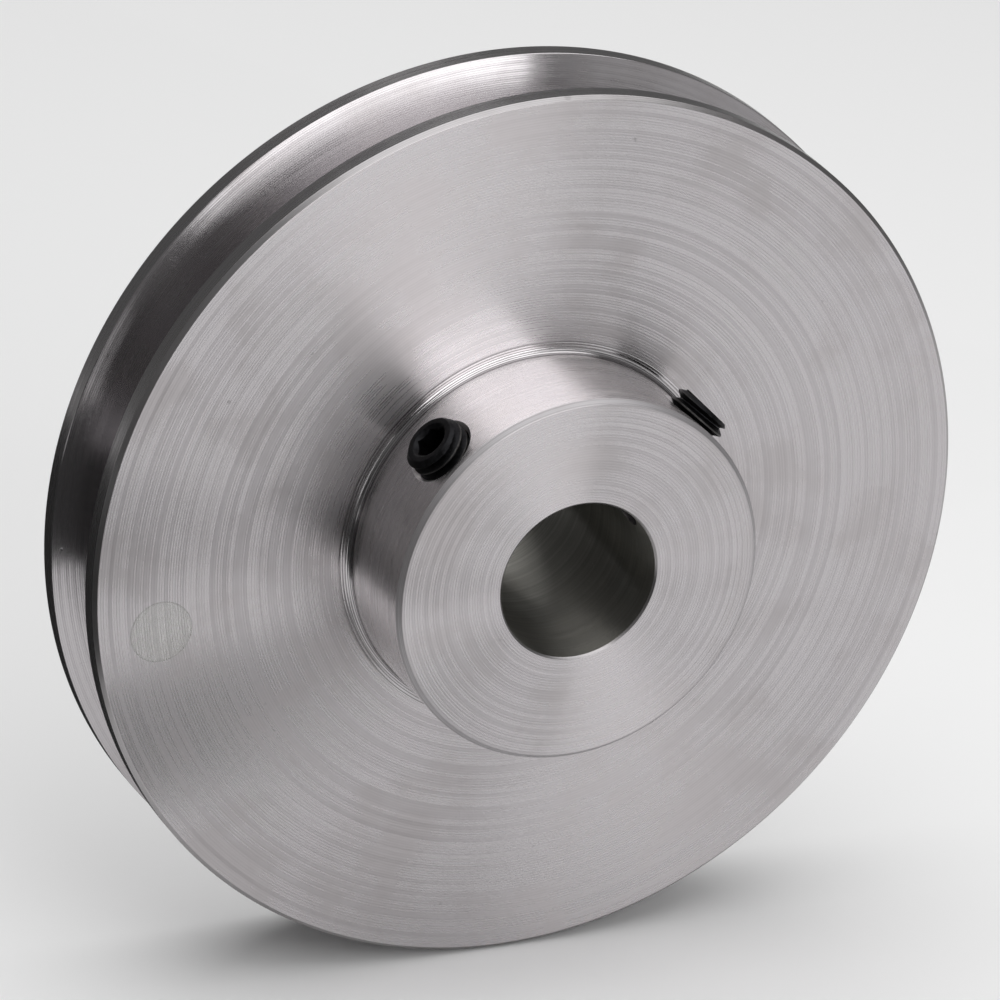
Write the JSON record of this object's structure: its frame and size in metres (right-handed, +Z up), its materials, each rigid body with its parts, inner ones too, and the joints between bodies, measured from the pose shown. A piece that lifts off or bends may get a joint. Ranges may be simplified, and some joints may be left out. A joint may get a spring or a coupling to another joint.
{
  "type": "v-belt pulley",
  "caption": "Solid turned V-belt pulley with an offset hub boss, a plain shaft bore and radial socket set screws in the hub.",
  "frame": {"origin": "on the shaft bore's axis, in the middle plane of the belt groove", "axes": "+Z up with the pulley standing on its rim; the shaft axis is Y and the hub points to -Y; the set screws lie 45 degrees either side of +Z"},
  "size_m": [0.09, 0.0252, 0.09],
  "materials": {
    "turned_aluminium": "fine turned, satin, with bright tool lines",
    "black_oxide_steel": "black oxide, lightly oiled",
    "clear_film": "thin matt clear film"
  },
  "bodies": {
    "pulley": {"pulley_body": "turned_aluminium", "inspection_dot": "clear_film"},
    "left_screw": {"set_screw_left": "black_oxide_steel"},
    "right_screw": {"set_screw_right": "black_oxide_steel"}
  },
  "joints": [
    {"name": "set_screw_left_travel", "type": "slide", "parent": "pulley", "child": "left_screw", "axis": [0.7071, 0, -0.7071], "range_m": [-0.0066, 0.0024]},
    {"name": "set_screw_right_travel", "type": "slide", "parent": "pulley", "child": "right_screw", "axis": [-0.7071, 0, -0.7071], "range_m": [-0.0066, 0.0024]}
  ]
}
